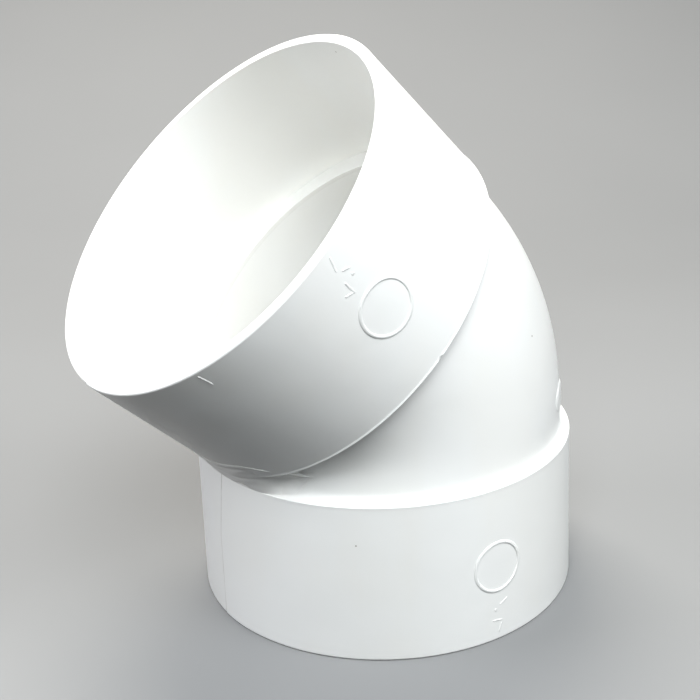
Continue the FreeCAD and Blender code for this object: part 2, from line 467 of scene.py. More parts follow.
@dataclass(frozen=True)
class SocketFrame:
    """A socket's own axes. Z runs into the socket from the middle of its mouth.

    Attributes:
        origin: Middle of the mouth in metres.
        axes: Matrix whose columns are its X, Y and Z.
    """

    origin: Array
    axes: Array

    @classmethod
    def of(cls, record: dict, end: End) -> "SocketFrame":
        """Reads a socket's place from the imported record.

        Args:
            record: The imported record.
            end: Which socket.

        Returns:
            The socket's axes.
        """
        named = {mount["name"]: mount for mount in record["mounts"]}
        mount = named[end.value + "_socket"]
        inward = -np.array(mount["axis"], float)
        inward /= np.linalg.norm(inward)
        level = np.array((0.0, 1.0, 0.0))
        axes = np.stack((np.cross(level, inward), level, inward), axis=1)
        return cls(np.array(mount["pos_m"], float), axes)

    def place(self, radius: Array, angle: Array, along: Array) -> Array:
        """Puts points given by radius, angle and length along the axis in the frame.

        Args:
            radius: Distances from the axis in mm.
            angle: Angles from the socket's X in radians.
            along: Distances from the mouth in mm.

        Returns:
            The points in metres, with the coordinates last.
        """
        local = points_of(radius * np.cos(angle), radius * np.sin(angle), along)
        return self.origin + (local * MM) @ self.axes.T


@dataclass(frozen=True)
class TurnSteps:
    """The angles at which every round piece has its points, so that edges meet.

    Attributes:
        step: Even step in degrees.
        throat_step: Finer step in degrees around the throat.
        throat_half: Half of the finer stretch in degrees.
        seam_offsets: Extra angles on each side of a mould seam, in degrees.
        nick_heading: Heading of the nicked edge in degrees.
    """

    step: float = 1.5
    throat_step: float = 0.75
    throat_half: float = 39.0
    seam_offsets: tuple[float, ...] = (0.03, 0.07, 0.11, 0.16, 0.22, 0.30, 0.42, 0.60)
    nick_heading: float = -91.1

    def headings(self) -> Array:
        """All angles of the tube's turn, 0 at the heel and 180 at the throat.

        Returns:
            Sorted angles in radians over one turn.
        """
        half = self.throat_half
        even = np.arange(0.0, 360.0, self.step)
        fine = np.arange(180.0 - half, 180.0 + half + 0.1, self.throat_step)
        sides = np.array(self.seam_offsets)
        close = np.concatenate([seam.value + sign * sides
                                for seam in Seam for sign in (-1.0, 1.0)])
        nick = self.nick_heading + np.linspace(-1.4, 1.4, 9)
        merged = np.unique(np.round(np.concatenate((even, fine, close, nick)) % 360.0, 3))
        return np.radians(merged)

    def around(self, end: End) -> Array:
        """The same angles as one socket counts them, the upper one from its throat side."""
        turn = self.headings()
        return turn if end is End.LOWER else np.sort((math.pi - turn) % TURN)


# ---- turned outlines ----


@dataclass(frozen=True)
class Corner:
    """One corner of a turned outline.

    Attributes:
        radius: Distance from the axis in mm.
        along: Distance from the mouth in mm.
        rounding: Radius of the corner in mm, 0 for a sharp one.
        steps: Points on the rounding.
        fill: Points on the straight after the corner.
    """

    radius: float
    along: float
    rounding: float = 0.0
    steps: int = 6
    fill: int = 1


def turned_outline(corners: Sequence[Corner]) -> Array:
    """The closed outline through some corners.

    A rounded corner is an arc that touches both sides: its ends lie at rounding over the
    tangent of half the corner's angle, and its centre on the corner's middle line at
    rounding over the sine of that half. A straight's points crowd towards its two ends
    by half of one less the cosine.

    Args:
        corners: Corners in order, up the outside, across, and down the inside.

    Returns:
        Rows of radius and length along, in mm.
    """
    spots = np.array([(c.radius, c.along) for c in corners])
    back = np.roll(spots, 1, axis=0) - spots
    ahead = np.roll(spots, -1, axis=0) - spots
    back /= np.linalg.norm(back, axis=1, keepdims=True)
    ahead /= np.linalg.norm(ahead, axis=1, keepdims=True)
    runs = []
    for corner, spot, a, b in zip(corners, spots, back, ahead):
        if corner.rounding <= 0.0:
            runs.append(spot[None])
            continue
        half = 0.5 * math.acos(float(np.clip(a @ b, -1.0, 1.0)))
        middle = (a + b) / np.linalg.norm(a + b)
        centre = spot + middle * corner.rounding / math.sin(half)
        first = spot + a * corner.rounding / math.tan(half) - centre
        last = spot + b * corner.rounding / math.tan(half) - centre
        sweep = math.pi - 2.0 * half
        share = np.linspace(0.0, 1.0, corner.steps)[:, None]
        arc = (np.sin((1.0 - share) * sweep) * first + np.sin(share * sweep) * last)
        runs.append(centre + arc / math.sin(sweep))
    pieces = []
    for corner, run, following in zip(corners, runs, runs[1:] + runs[:1]):
        share = 0.5 - 0.5 * np.cos(np.linspace(0.0, math.pi, corner.fill + 2)[1:-1])
        pieces.append(run)
        pieces.append(run[-1] + share[:, None] * (following[0] - run[-1]))
    return np.concatenate(pieces)


# ---- raised marks ----


@dataclass(frozen=True)
class RaisedBar:
    """A small raised bar or dot with round edges, laid on a curved wall.

    Attributes:
        around: Its middle's distance round the wall from the mark line, in mm.
        along: Its middle's distance from the mouth in mm.
        length: Length in mm.
        width: Width in mm.
        turn: Turn of its length from the wall's axis in degrees.
        height: How far it stands up in mm.
        boxy: 2 for an oval outline, more for a squarer one.
        sunk: How far its foot goes under the wall in mm.
    """

    around: float
    along: float
    length: float
    width: float
    turn: float
    height: float = 0.13
    boxy: float = 4.0
    sunk: float = 0.12

    def lay(self) -> tuple[Array, Array, Array]:
        """Lays the bar out flat.

        The outline at angle a is cosine and sine of a, each to the power 2 over boxy, times
        half of the length and width. Rings of it shrink to a point over the rounded top and
        under the foot.

        Returns:
            Offsets round the wall, along it, and off it in mm, each as a closed grid.
        """
        a = np.linspace(0.0, TURN, 48, endpoint=False)[:, None]
        power = 2.0 / self.boxy
        p = signed_power(np.cos(a), power) * self.length / 2.0
        q = signed_power(np.sin(a), power) * self.width / 2.0
        t = np.linspace(0.0, QUARTER, 9)
        inset = self.width * 0.42 * (1.0 - np.sin(t))
        rise = self.height * np.cos(t) ** 1.3
        share = np.concatenate(
            ([0.0, 0.5], 1.0 - inset * 2.0 / self.width, [1.0, 0.5, 0.0]))
        lift = np.concatenate(([self.height] * 2, rise, [-self.sunk] * 3))
        shrink = np.broadcast_to(share, (len(a), len(share)))
        turn = math.radians(self.turn)
        slim = min(1.0, self.width / self.length)
        length_way = np.where(shrink > 0.0, p * (1.0 - (1.0 - shrink) * slim), 0.0)
        width_way = q * shrink
        around = self.around + length_way * math.sin(turn) + width_way * math.cos(turn)
        along = self.along + length_way * math.cos(turn) - width_way * math.sin(turn)
        return around, along, np.broadcast_to(lift, around.shape)


# ---- the hubs ----


@dataclass
class Hub:
    """One end of the elbow: a socket for the pipe and the ring that stops it.

    Attributes:
        end: Which end it is.
        frame: The socket's own axes.
        steps: Angles that all round pieces share.
        depth: Depth of the socket in mm, as all lengths here.
        length: Length of the whole hub.
        socket_radius: Inside radius of the socket.
        mouth_radius: Outside radius at the mouth.
        shoulder_radius: Outside radius at the shoulder.
        bore_radius: Radius of the way through the stop.
        foot_radius: Outside radius of the bend's foot fillet.
        rim_round: Rounding of the mouth's outer edge.
        shoulder_round: Rounding of the shoulder's edge.
        lip_rise: Height of the burr on that edge.
        edge_bead: How far the edge bulges out.
        seam_step: How far one mould half stands proud.
        seam_groove: Depth of the groove along the seam.
        seam_start: Degrees by which the seam is off its line at first.
        seam_drift: Degrees by which it has strayed at the shoulder.
        ring_place: Middle of the ring mark from the mouth.
        ring_turn: Its distance round the hub from the mark line.
        ring_radius: Outside radius of the ring mark.
        ring_width: Width of its bead.
        ring_rise: Height of its bead.
        bars: The plain tally marks between the ring and the mouth.
        nick_depth: Depth of the small knock in the shoulder's edge.
    """

    end: End
    frame: SocketFrame
    steps: TurnSteps
    depth: float = 48.0
    length: float = 49.5
    socket_radius: float = 57.3
    mouth_radius: float = 60.4
    shoulder_radius: float = 59.6
    bore_radius: float = 51.2
    foot_radius: float = 59.1
    rim_round: float = 0.6
    shoulder_round: float = 0.09
    lip_rise: float = 0.06
    edge_bead: float = 0.19
    seam_step: float = 0.16
    seam_groove: float = 0.20
    seam_start: float = 0.0
    seam_drift: float = 0.0
    ring_place: float = 24.5
    ring_turn: float = 0.0
    ring_radius: float = 8.1
    ring_width: float = 0.8
    ring_rise: float = 0.4
    bars: tuple[RaisedBar, ...] = ()
    nick_depth: float = 0.0

    MARK_LINE = -QUARTER  # where the marks stand round the hub
    STRAY_FROM = 28.0  # where the seam starts to stray, from the mouth
    STEP_BLEND = 0.07  # how quickly one half steps up to the other
    STEP_FADE = 14.0  # how far from the seam the step fades out
    GROOVE_WIDTH = 0.17
    NICK_WIDTH = 0.010  # in radians

    def throat(self) -> float:
        """Angle in radians of the hub's throat side, as its own axes count it."""
        return math.pi if self.end is End.LOWER else 0.0

    def side(self) -> float:
        """1 where the hub's angles grow towards -Y past the throat, or -1."""
        return 1.0 if self.end is End.LOWER else -1.0

    def outside(self, along: Array) -> Array:
        """Radius at distances from the mouth: even to the shoulder, level past it."""
        share = np.clip(along / self.depth, 0.0, 1.0)
        return self.mouth_radius + share * (self.shoulder_radius - self.mouth_radius)

    def strayed(self, angle: Array, along: Array) -> Array:
        """Angles moved so that the throat's seam strays from its line.

        The drift grows evenly from 28 mm to the shoulder, in a bell of 11 degrees beside
        the throat.

        Args:
            angle: Angles in radians.
            along: Distances from the mouth in mm.

        Returns:
            The moved angles.
        """
        away = wrapped(angle - self.throat())
        grown = (along - self.STRAY_FROM) / (self.length - self.STRAY_FROM)
        grown = np.clip(grown, 0.0, 1.0)
        turn = self.seam_start + (self.seam_drift - self.seam_start) * grown
        return angle + math.radians(1.0) * turn * bump(away, SEAM_STRAY)

    def seam_relief(self, angle: Array) -> tuple[Array, Array]:
        """Relief and dirt of the two mould seams, before they stray.

        With d the arc from a seam towards the -Y half, the halves differ by the hyperbolic
        tangent of d over 0.07 mm in a bell of 14 mm, and the groove is a bell of 0.17 mm.

        Args:
            angle: Angles in radians.

        Returns:
            Heights in mm, and darkening from 0 to 1: painted shade of the seam's step, with
                some soiling.
        """
        throat_arc = wrapped(angle - self.throat()) * self.shoulder_radius
        heel_arc = wrapped(angle - self.throat() - math.pi) * self.shoulder_radius
        side = self.side()
        height = np.zeros_like(angle)
        darkening = np.zeros_like(angle)
        for arc, share in ((throat_arc * side, 1.0), (-heel_arc * side, 0.6)):
            halves = 0.5 * self.seam_step * np.tanh(arc / self.STEP_BLEND)
            halves *= bump(arc, self.STEP_FADE)
            height += share * (halves - self.seam_groove * bump(arc, self.GROOVE_WIDTH))
            darkening += share * bump(arc - 0.02, 0.22)
        return height, darkening

    def turned(self, outline: Array, calm: Array | None = None) -> Sheet:
        """Turns an outline round the hub's axis, with the seams on its outside.

        Args:
            outline: Rows of radius and length along, in mm.
            calm: Outline that takes its place at the throat, or none.

        Returns:
            The closed surface.
        """
        turn = self.steps.around(self.end)[:, None]
        radius = np.broadcast_to(outline[:, 0], (len(turn), len(outline))).copy()
        along = np.broadcast_to(outline[:, 1], radius.shape).copy()
        if calm is not None:
            share = BendTube.web_share(self.side() * wrapped(turn - self.throat()))
            radius += share * (calm[:, 0] - radius)
            along += share * (calm[:, 1] - along)
        skin = smooth_step(-0.75, -0.2, radius - self.outside(along))
        height, darkening = self.seam_relief(turn)
        rim = bump(along, 0.45) * skin
        edge = bump(along - self.length, 0.35) * skin
        knock = bump(wrapped(turn - self.nick_angle()), self.NICK_WIDTH)
        nick = self.nick_depth * knock * edge
        along = along - 0.6 * nick
        radius = radius + skin * height - nick
        inwards = self.shoulder_radius - radius
        ledge = bump(along - self.length, 0.5) * smooth_step(0.3, 0.8, inwards)
        inner_corner = bump(along - self.depth, 1.4) * (radius < self.socket_radius + 0.01)
        # The grime mask darkens the seams, the ledge's inner corner, the socket's inner
        # corner and the nick: painted shade in these hollows and along the seam's step,
        # with some soiling.
        soil_and_painted_shade = 1.5 * skin * darkening + 0.10 * ledge + 0.04 * inner_corner + 0.3 * nick
        points = self.frame.place(radius, self.strayed(turn, along), along)
        return Sheet(points, soil_and_painted_shade=soil_and_painted_shade, wear=0.9 * rim + 0.8 * edge)

    def nick_angle(self) -> float:
        """Angle in radians of the knock in the shoulder's edge."""
        heading = math.radians(self.steps.nick_heading)
        return heading if self.end is End.LOWER else math.pi - heading

    def socket_wall(self) -> Sheet:
        """The tapered wall of the socket, from its rim to the stop.

        Returns:
            The closed surface.
        """
        return self.turned(turned_outline((
            Corner(self.mouth_radius, 0.0, self.rim_round, 9, 34),
            Corner(self.shoulder_radius, self.depth, fill=1),
            Corner(self.socket_radius, self.depth, fill=26),
            Corner(self.socket_radius, 0.0, 0.14, 5, 5),
        )))

    def stop_ring(self) -> Sheet:
        """The ring between the socket and the bend, with its shoulder outside.

        At the throat its edge is square, because the web between the hubs covers it.

        Returns:
            The closed surface.
        """
        def outline(lip: float, bead: float, rounding: float, small: float) -> Array:
            """The ring's outline for one form of its edge.

            Args:
                lip: Height of the burr in mm.
                bead: How far the edge bulges out.
                rounding: Rounding of the edge.
                small: Rounding of the burr's inner corners.

            Returns:
                Rows of radius and length along, in mm.
            """
            top = self.length + lip
            rim = self.shoulder_radius + bead
            inner = rim - 0.62 * rounding - 0.40
            return turned_outline((
                Corner(self.shoulder_radius, self.depth, fill=2),
                Corner(self.shoulder_radius, top - 0.75, 0.3, 5, 1),
                Corner(rim, top - 0.17, 0.10, 5, 1),
                Corner(rim, top, rounding, 7, 1),
                Corner(inner, top, small, 4, 1),
                Corner(inner - 0.14, self.length - 0.002, small, 4, 2),
                Corner(self.foot_radius - 2.0, self.length, fill=1),
                Corner(self.bore_radius, self.length, fill=1),
                Corner(self.bore_radius, self.depth, 0.06, 5, 8),
                Corner(self.socket_radius, self.depth, fill=1),
            ))
        small = min(0.05, 0.3 * self.lip_rise + 0.004)
        return self.turned(
            outline(self.lip_rise + 0.004, self.edge_bead, self.shoulder_round, small),
            outline(0.004, 0.004, 0.03, 0.002))

    def on_wall(self, around: Array, along: Array, off: Array) -> Array:
        """Lays offsets round, along and off the outside, in mm, at the mark line."""
        wall = self.outside(along)
        return self.frame.place(wall + off, self.MARK_LINE + around / wall, along)

    def ring_bead(self) -> Sheet:
        """The raised ring mark: a low bead led round a circle on the wall.

        With b the angle in the bead's section, it reaches half of its width times the
        cosine of b inwards and 1.8 times that outwards. It rises by a power of the sine of
        b, a little worn here and there, and sinks a little under the wall.

        Returns:
            The closed surface.
        """
        circle = np.linspace(0.0, TURN, 160, endpoint=False)[:, None]
        b = np.linspace(0.0, TURN, 28, endpoint=False)
        half = self.ring_width / 2.0
        reach = half * signed_power(np.cos(b), 0.9)
        out = self.ring_radius - half + np.where(reach > 0.0, 1.8 * reach, reach)
        up = np.where(np.sin(b) > 0.0, 0.8 * self.ring_rise * np.abs(np.sin(b)) ** 1.6,
                      -0.12 * np.abs(np.sin(b)))
        worn = 1.0 + 0.10 * np.sin(3.0 * circle + 0.7) + 0.05 * np.sin(7.0 * circle)
        up = up * np.where(up > 0.0, worn, 1.0)
        around = self.ring_turn + out * np.cos(circle)
        along = self.ring_place + out * np.sin(circle)
        return Sheet(self.on_wall(around, along, up), wear=0.5 * (up > 0.2))

    def bar_sheets(self, bars: Sequence[RaisedBar]) -> list[Sheet]:
        """One closed surface for each of some bars laid on the hub's outside."""
        return [Sheet(self.on_wall(*bar.lay()), closed_along=False) for bar in bars]

    def build(self, maker: PieceMaker) -> None:
        """Builds the hub's pieces.

        Args:
            maker: Maker of the pieces.
        """
        name = self.end.value
        maker.piece(name + "_socket_wall", [self.socket_wall()], name + "_socket")
        maker.piece(name + "_stop_ring", [self.stop_ring()], name + "_stop_shoulder")
        maker.piece(name + "_ring_bead", [self.ring_bead()], name + "_ring_mark")
        maker.piece(name + "_tally_marks", self.bar_sheets(self.bars))


# ---- the bend ----


@dataclass
class BendTube:
    """The tube between the two hubs: straight, bent by 45 degrees, and straight again.

    Attributes:
        steps: Angles that all round pieces share.
        foot: Height of the lower shoulder in mm.
        body_radius: Outside radius.
        bore_radius: Inside radius.
        tangent: Straight length at each end of the axis.
        bend_radius: Radius of the axis's arc.
        turn: Angle of the bend in radians.
        fillet: Radius of the foot fillets.
        outer_crease: Least radius of the bend on the outside of the throat.
        inner_crease: Least radius of the bend on the bore's side.
        web_rise: How far the web between the hubs fills the throat.
        seam_drift: Turn in degrees by which the lower seam has strayed at the foot.
        pad_bearing: Bearing of the oval pad on the heel, in degrees.
        pad_place: Its middle above the lower shoulder.
        pad_half: Half of its width and height.
        pad_rise: How far it stands up.
    """

    steps: TurnSteps
    foot: float = 49.5
    body_radius: float = 56.5
    bore_radius: float = 51.2
    tangent: float = 7.5
    bend_radius: float = 46.0
    turn: float = math.pi / 4.0
    fillet: float = 2.6
    outer_crease: float = 3.6
    inner_crease: float = 1.6
    web_rise: float = 3.02
    seam_drift: float = 0.0
    pad_bearing: float = -45.0
    pad_place: float = 12.0
    pad_half: Span = (8.0, 4.7)
    pad_rise: float = 0.40

    # Small pits beside the web: depth, degrees past the throat, width in radians, height
    # above the foot, and height of the pit.
    PITS = ((0.75, 15.6, 0.026, 0.7, 0.32), (0.9, -3.4, 0.020, 1.3, 0.4))

    @staticmethod
    def web_share(away: Array) -> Array:
        """How much of the web stands at angles past the throat, growing to -Y."""
        deg = np.degrees(away)
        return smooth_step(-4.5, -1.5, deg) * (1.0 - smooth_step(19.0, 37.0, deg))

    def line(self, radius: float, crease: float, heading: Array) -> tuple[Array, Array]:
        """Arc radius and straight length of the lines along the tube at some headings.

        A line at x from the axis has an arc of the bend's radius plus x, softly held above
        the crease. It meets the bend's middle plane at the axis's corner height plus x
        times the tangent of half the turn; its straight is that less the arc radius times
        the same tangent.

        Args:
            radius: Radius of the wall in mm.
            crease: Least arc radius in mm.
            heading: Headings in radians.

        Returns:
            Arc radii and straight lengths in mm.
        """
        x = radius * np.cos(heading)
        half = math.tan(self.turn / 2.0)
        arc = soft_larger(self.bend_radius + x, crease, 1.2)
        corner = self.tangent + self.bend_radius * half
        return arc, corner + x * half - arc * half

    def along_wall(self, radius: float, crease: float, heading: Array, path: Array,
                   ) -> tuple[Array, Array]:
        """Points and outward directions on one wall: up a straight, round the arc, and on.

        Args:
            radius: Radius of the wall in mm.
            crease: Least arc radius in mm.
            heading: Headings in radians.
            path: Distances from the lower foot in mm.

        Returns:
            Points in mm and unit directions, with the coordinates last.
        """
        arc, straight = self.line(radius, crease, heading)
        x = radius * np.cos(heading)
        first = np.minimum(path, straight)
        bent = np.clip((path - straight) / arc, 0.0, self.turn)
        last = np.maximum(path - straight - arc * self.turn, 0.0)
        points = points_of(
            x - arc * (1.0 - np.cos(bent)) - last * math.sin(self.turn),
            radius * np.sin(heading),
            self.foot + first + arc * np.sin(bent) + last * math.cos(self.turn))
        normals = points_of(np.cos(heading) * np.cos(bent), np.sin(heading),
                            np.cos(heading) * np.sin(bent))
        return points, normals

    def foot_rise(self, height: Array) -> Array:
        """The fillet radius less the root of its square less the squared rest."""
        rest = np.clip(self.fillet - height, 0.0, self.fillet)
        return self.fillet - np.sqrt(self.fillet**2 - rest**2)

    def rise(self, heading: Array, path: Array, whole: Array) -> Array:
        """Thickness added to the body: foot fillets, and the web at the throat.

        The three are joined by the fourth root of the sum of their fourth powers, and held
        softly under the web's rise.

        Args:
            heading: Headings in radians.
            path: Distances from the lower foot in mm.
            whole: Whole lengths of the paths in mm.

        Returns:
            Thickness in mm.
        """
        away = wrapped(heading - math.pi)
        web = self.web_rise * self.web_share(away)
        low, high = self.foot_rise(path), self.foot_rise(whole - path)
        joined = (low**4 + high**4 + web**4) ** 0.25
        level = soft_smaller(joined, self.web_rise, 0.06)
        ripple = 0.10 * np.sin(away * 41.0 + 1.0) * np.sin(path * 2.3 + away * 17.0)
        middle = path * (whole - path) * 4.0 / np.maximum(whole, 1.0) ** 2
        middle = np.clip(middle, 0.0, 1.0)
        pits = sum(
            deep * bump(wrapped(away - math.radians(at)), wide) * bump(path - up, tall)
            for deep, at, wide, up, tall in self.PITS)
        return level - self.web_share(away) * middle * (0.12 + ripple) - pits

    def wall(self) -> Sheet:
        """The tube as one closed skin: outside, upper end, bore, and lower end.

        The outside's points lie on even angles over the fillets and even lengths between.

        Returns:
            The closed surface.
        """
        turn = self.steps.headings()[:, None]
        arc, straight = self.line(self.body_radius, self.outer_crease, turn)
        whole = 2.0 * straight + arc * self.turn
        over = np.linspace(0.0, QUARTER, 15)[None, :]
        foot = np.minimum(self.fillet, 0.42 * whole) * (1.0 - np.cos(over))
        share = np.linspace(0.0, 1.0, 64)[None, 1:-1]
        between = foot[:, -1:] + share * (whole - 2.0 * foot[:, -1:])
        path = np.concatenate((foot, between, (whole - foot)[:, ::-1]), axis=1)
        near_foot = 1.0 - smooth_step(1.0, 4.0, path)
        away = wrapped(turn - math.pi)
        drift = math.radians(self.seam_drift) * bump(away, SEAM_STRAY)
        turned = turn + drift * near_foot
        points, normals = self.along_wall(self.body_radius, self.outer_crease, turned, path)
        rise = self.rise(turned, path, whole)
        outside = points + normals * rise[..., None]

        arc, straight = self.line(self.bore_radius, self.inner_crease, turn)
        bore_whole = 2.0 * straight + arc * self.turn
        back = np.linspace(1.0, 0.0, 60)[None, :] * bore_whole
        bore, _ = self.along_wall(self.bore_radius, self.inner_crease, turn, back)

        ends = np.linspace(0.0, 1.0, 4)[None, 1:-1, None]
        upper = outside[:, -1:] + ends * (bore[:, :1] - outside[:, -1:])
        lower = bore[:, -1:] + ends * (outside[:, :1] - bore[:, -1:])
        skin = np.concatenate((outside, upper, bore, lower), axis=1)

        # The grime mask darkens the foot corners, the throat, the web's dents and the seam
        # line: painted shade where the hubs and web overhang, with some soiling.
        corner = bump(np.minimum(path, whole - path), 0.9)
        throat = self.web_share(away) * (0.08 + 0.06 * np.sin(path * 1.9 + away * 23.0))
        soil_and_painted_shade = np.zeros(skin.shape[:2])
        dents = smooth_step(0.15, 0.7, self.web_rise - rise) * self.web_share(away)
        seam = 0.35 * bump(away * self.body_radius, 0.25) * (1.0 - self.web_share(away))
        soil_and_painted_shade[:, :path.shape[1]] = 0.08 * corner + throat + 0.15 * dents + seam
        return Sheet(skin * MM, soil_and_painted_shade=soil_and_painted_shade)

    def heel_pad(self) -> Sheet:
        """The low oval pad on the heel, with a rounded edge, laid on the tube.

        Rings of the oval shrink to its middle over the top and under the foot. Above the
        arc's start a point leans in by the arc radius less the root of its square less the
        squared height above that start.

        Returns:
            The closed surface.
        """
        a = np.linspace(0.0, TURN, 96, endpoint=False)[:, None]
        t = np.linspace(0.0, QUARTER, 8)
        inset = 1.6 * (1.0 - np.sin(t))
        share = np.concatenate(([0.0, 0.2, 0.4, 0.6], 1.0 - inset / self.pad_half[1],
                                [1.0, 0.6, 0.3, 0.0]))
        lift = np.concatenate(([self.pad_rise] * 4, self.pad_rise * np.cos(t) ** 1.5,
                               [-0.3] * 4))
        across = self.pad_half[0] * np.cos(a) * share
        up = self.pad_half[1] * np.sin(a) * share
        radius = self.body_radius + lift
        heading = math.radians(self.pad_bearing) + across / self.body_radius
        above = self.pad_place + up - self.tangent
        arc = self.bend_radius + radius * np.cos(heading)
        leant = arc - np.sqrt(arc**2 - np.maximum(above, 0.0) ** 2)
        points = points_of(radius * np.cos(heading) - leant, radius * np.sin(heading),
                           self.foot + self.pad_place + up)
        return Sheet(points * MM, closed_along=False, wear=0.3 * np.ones(points.shape[:2]))

    def build(self, maker: PieceMaker) -> None:
        """Builds the tube and its pad."""
        maker.piece("bend_tube_wall", [self.wall()], "bend_tube")
        maker.piece("heel_pad_relief", [self.heel_pad()], "heel_pad")


@dataclass
class ThroatWeb:
    """The web of plastic that joins the two hubs on the -Y side of the throat.

    Attributes:
        lower: The lower hub.
        upper: The upper hub.
        first: Degrees past the throat where it starts.
        last: Degrees past the throat where it has run out.
        reach: How far it reaches onto the upper hub's outside in mm.
        depth: How deep its hidden back lies in mm.
    """

    lower: Hub
    upper: Hub
    first: float = -4.0
    last: float = 38.5
    reach: float = 7.6
    depth: float = 2.6

    def skin(self) -> Sheet:
        """The web as one closed surface.

        At each angle past the throat its face runs straight from the lower hub's edge to a
        line on the upper hub's outside, and its hollow back lies inside. Towards the last
        angle the lower line slides in along the ledge, the upper one comes down to the
        hub's edge, the face sags, and the section shrinks to its middle. A bead, two
        creases, a slit and fine waves roughen the face.

        Returns:
            The closed surface.
        """
        away = np.radians(np.linspace(self.first, self.last, 140))[:, None]
        deg = np.degrees(away)
        reach = self.reach * (1.0 - smooth_step(20.0, self.last - 0.5, deg))
        edge = self.lower.shoulder_radius
        foot = edge - 0.02 - 3.6 * smooth_step(20.0, self.last - 1.0, deg)
        crown = self.upper.outside(self.upper.length - reach) + 0.20 - 1.2 * smooth_step(
            29.0, self.last, deg)
        low = self.lower.frame.place(foot, math.pi + away, self.lower.length - 0.01)
        top = self.upper.frame.place(crown, -away, self.upper.length - reach)
        low_back = self.lower.frame.place(
            foot - self.depth, math.pi + away, self.lower.length - 0.6)
        top_back = self.upper.frame.place(edge - self.depth, -away, self.upper.length - 0.6)
        share = np.linspace(0.0, 1.0, 48)[None, :, None]
        face = low + share * (top - low)
        outward = points_of(-0.83 * np.cos(away), -np.sin(away), -0.56 * np.cos(away))
        u = np.linspace(0.0, 1.0, 9)[None, :, None]
        deeper = smooth_step(16.0, 35.0, deg)
        hollow = (2.4 + 1.2 * deeper)[..., None] * np.sin(math.pi * u)
        back = top_back + u * (low_back - top_back) - outward * hollow * MM
        t = share[..., 0]
        inner = np.sin(math.pi * t) ** 0.6
        waves = 0.05 * np.sin(7.0 * t + 9.0 * away + 0.6) + 0.035 * np.sin(
            19.0 * t - 37.0 * away) + 0.02 * np.sin(83.0 * away + 21.0 * t)
        sag = (0.10 + 3.4 * deeper) * np.sin(math.pi * t) * (1.25 - 0.7 * t)
        middle = smooth_step(3.0, 6.0, deg) * (1.0 - smooth_step(20.0, 25.0, deg))
        slit = 0.80 * bump(deg - 13.6, 1.9) * bump(t - 0.11, 0.045)
        crease = 0.13 * middle * bump(t - 0.82, 0.05)
        crease = crease + 0.16 * bump(deg - 19.0, 4.0) * bump(t - 0.46, 0.05)
        bead = 0.10 * middle * bump(t - 0.94, 0.04)
        end = smooth_step(self.first, self.first + 3.5, deg)
        sunk = waves * inner - sag - slit - crease + bead - 2.2 * (1.0 - end)
        face = face + outward * (sunk * MM)[..., None]
        skin = np.concatenate((face, back), axis=1)
        core = skin.mean(axis=1, keepdims=True)
        left = 1.0 - 0.97 * smooth_step(28.0, self.last, deg)
        skin = core + left[..., None] * (skin - core)
        tip = skin[-1:].mean(axis=1, keepdims=True)
        root = back[:1].mean(axis=1, keepdims=True)
        skin = np.concatenate((np.broadcast_to(root, skin[:1].shape), skin,
                               np.broadcast_to(tip, skin[:1].shape)))
        # The grime mask darkens the web's face, most along its middle, slit and creases:
        # painted shade in the throat, with some soiling.
        soil_and_painted_shade = np.zeros(skin.shape[:2])
        stripes = 0.5 + 0.5 * np.sin(20.0 * away * t + 21.0 * t)
        soil_and_painted_shade[1:-1, :face.shape[1]] = (0.06 + 0.12 * stripes * inner
                                       + 1.4 * slit + 0.9 * crease)
        return Sheet(skin, closed_around=False, soil_and_painted_shade=soil_and_painted_shade)

    def build(self, maker: PieceMaker) -> None:
        """Builds the web."""
        maker.piece("throat_web", [self.skin()])


# ---- the studio ----


@dataclass(frozen=True)
class SoftLight:
    """One soft area light, placed by its direction from the elbow's middle.

    Attributes:
        name: Name of the light.
        bearing: Degrees, 0 towards -Y, growing to +X.
        height: Degrees above the horizon.
        power: Power in watts.
        tint: Colour.
        far: Distance in metres.
        side: Side of its square in metres.
    """

    name: str
    bearing: float
    height: float
    power: float
    tint: Triple
    far: float = 1.0
    side: float = 0.55

    def place(self, middle: Array) -> None:
        """Adds the light, facing the elbow's middle.

        Args:
            middle: The elbow's middle in metres.
        """
        data = bpy.data.lights.new(self.name, "AREA")
        data.shape = "SQUARE"
        data.size = self.side
        data.energy = self.power
        data.color = self.tint
        back = heading_of(self.bearing, self.height)
        lamp = put(self.name, data)
        lamp.matrix_world = looking_matrix(middle + back * self.far, back, 0.0)


def heading_of(azimuth: float, elevation: float) -> Array:
    """Unit direction at an azimuth, 0 towards -Y and growing to +X, and elevation."""
    a, e = math.radians(azimuth), math.radians(elevation)
    return np.array((math.sin(a) * math.cos(e), -math.cos(a) * math.cos(e), math.sin(e)))


def looking_matrix(spot: Array, back: Array, roll: float) -> Any:
    """Placement of a camera or light that looks along minus back.

    Args:
        spot: Its place in metres.
        back: Unit direction behind it.
        roll: Turn about its line of sight in degrees.

    Returns:
        The placement as a four by four matrix.
    """
    right = np.cross((0.0, 0.0, 1.0), back)
    right /= np.linalg.norm(right)
    up = np.cross(back, right)
    r = math.radians(roll)
    matrix = np.identity(4)
    matrix[:3, 0] = math.cos(r) * right + math.sin(r) * up
    matrix[:3, 1] = math.cos(r) * up - math.sin(r) * right
    matrix[:3, 2] = back
    matrix[:3, 3] = spot
    return Matrix(matrix.tolist())


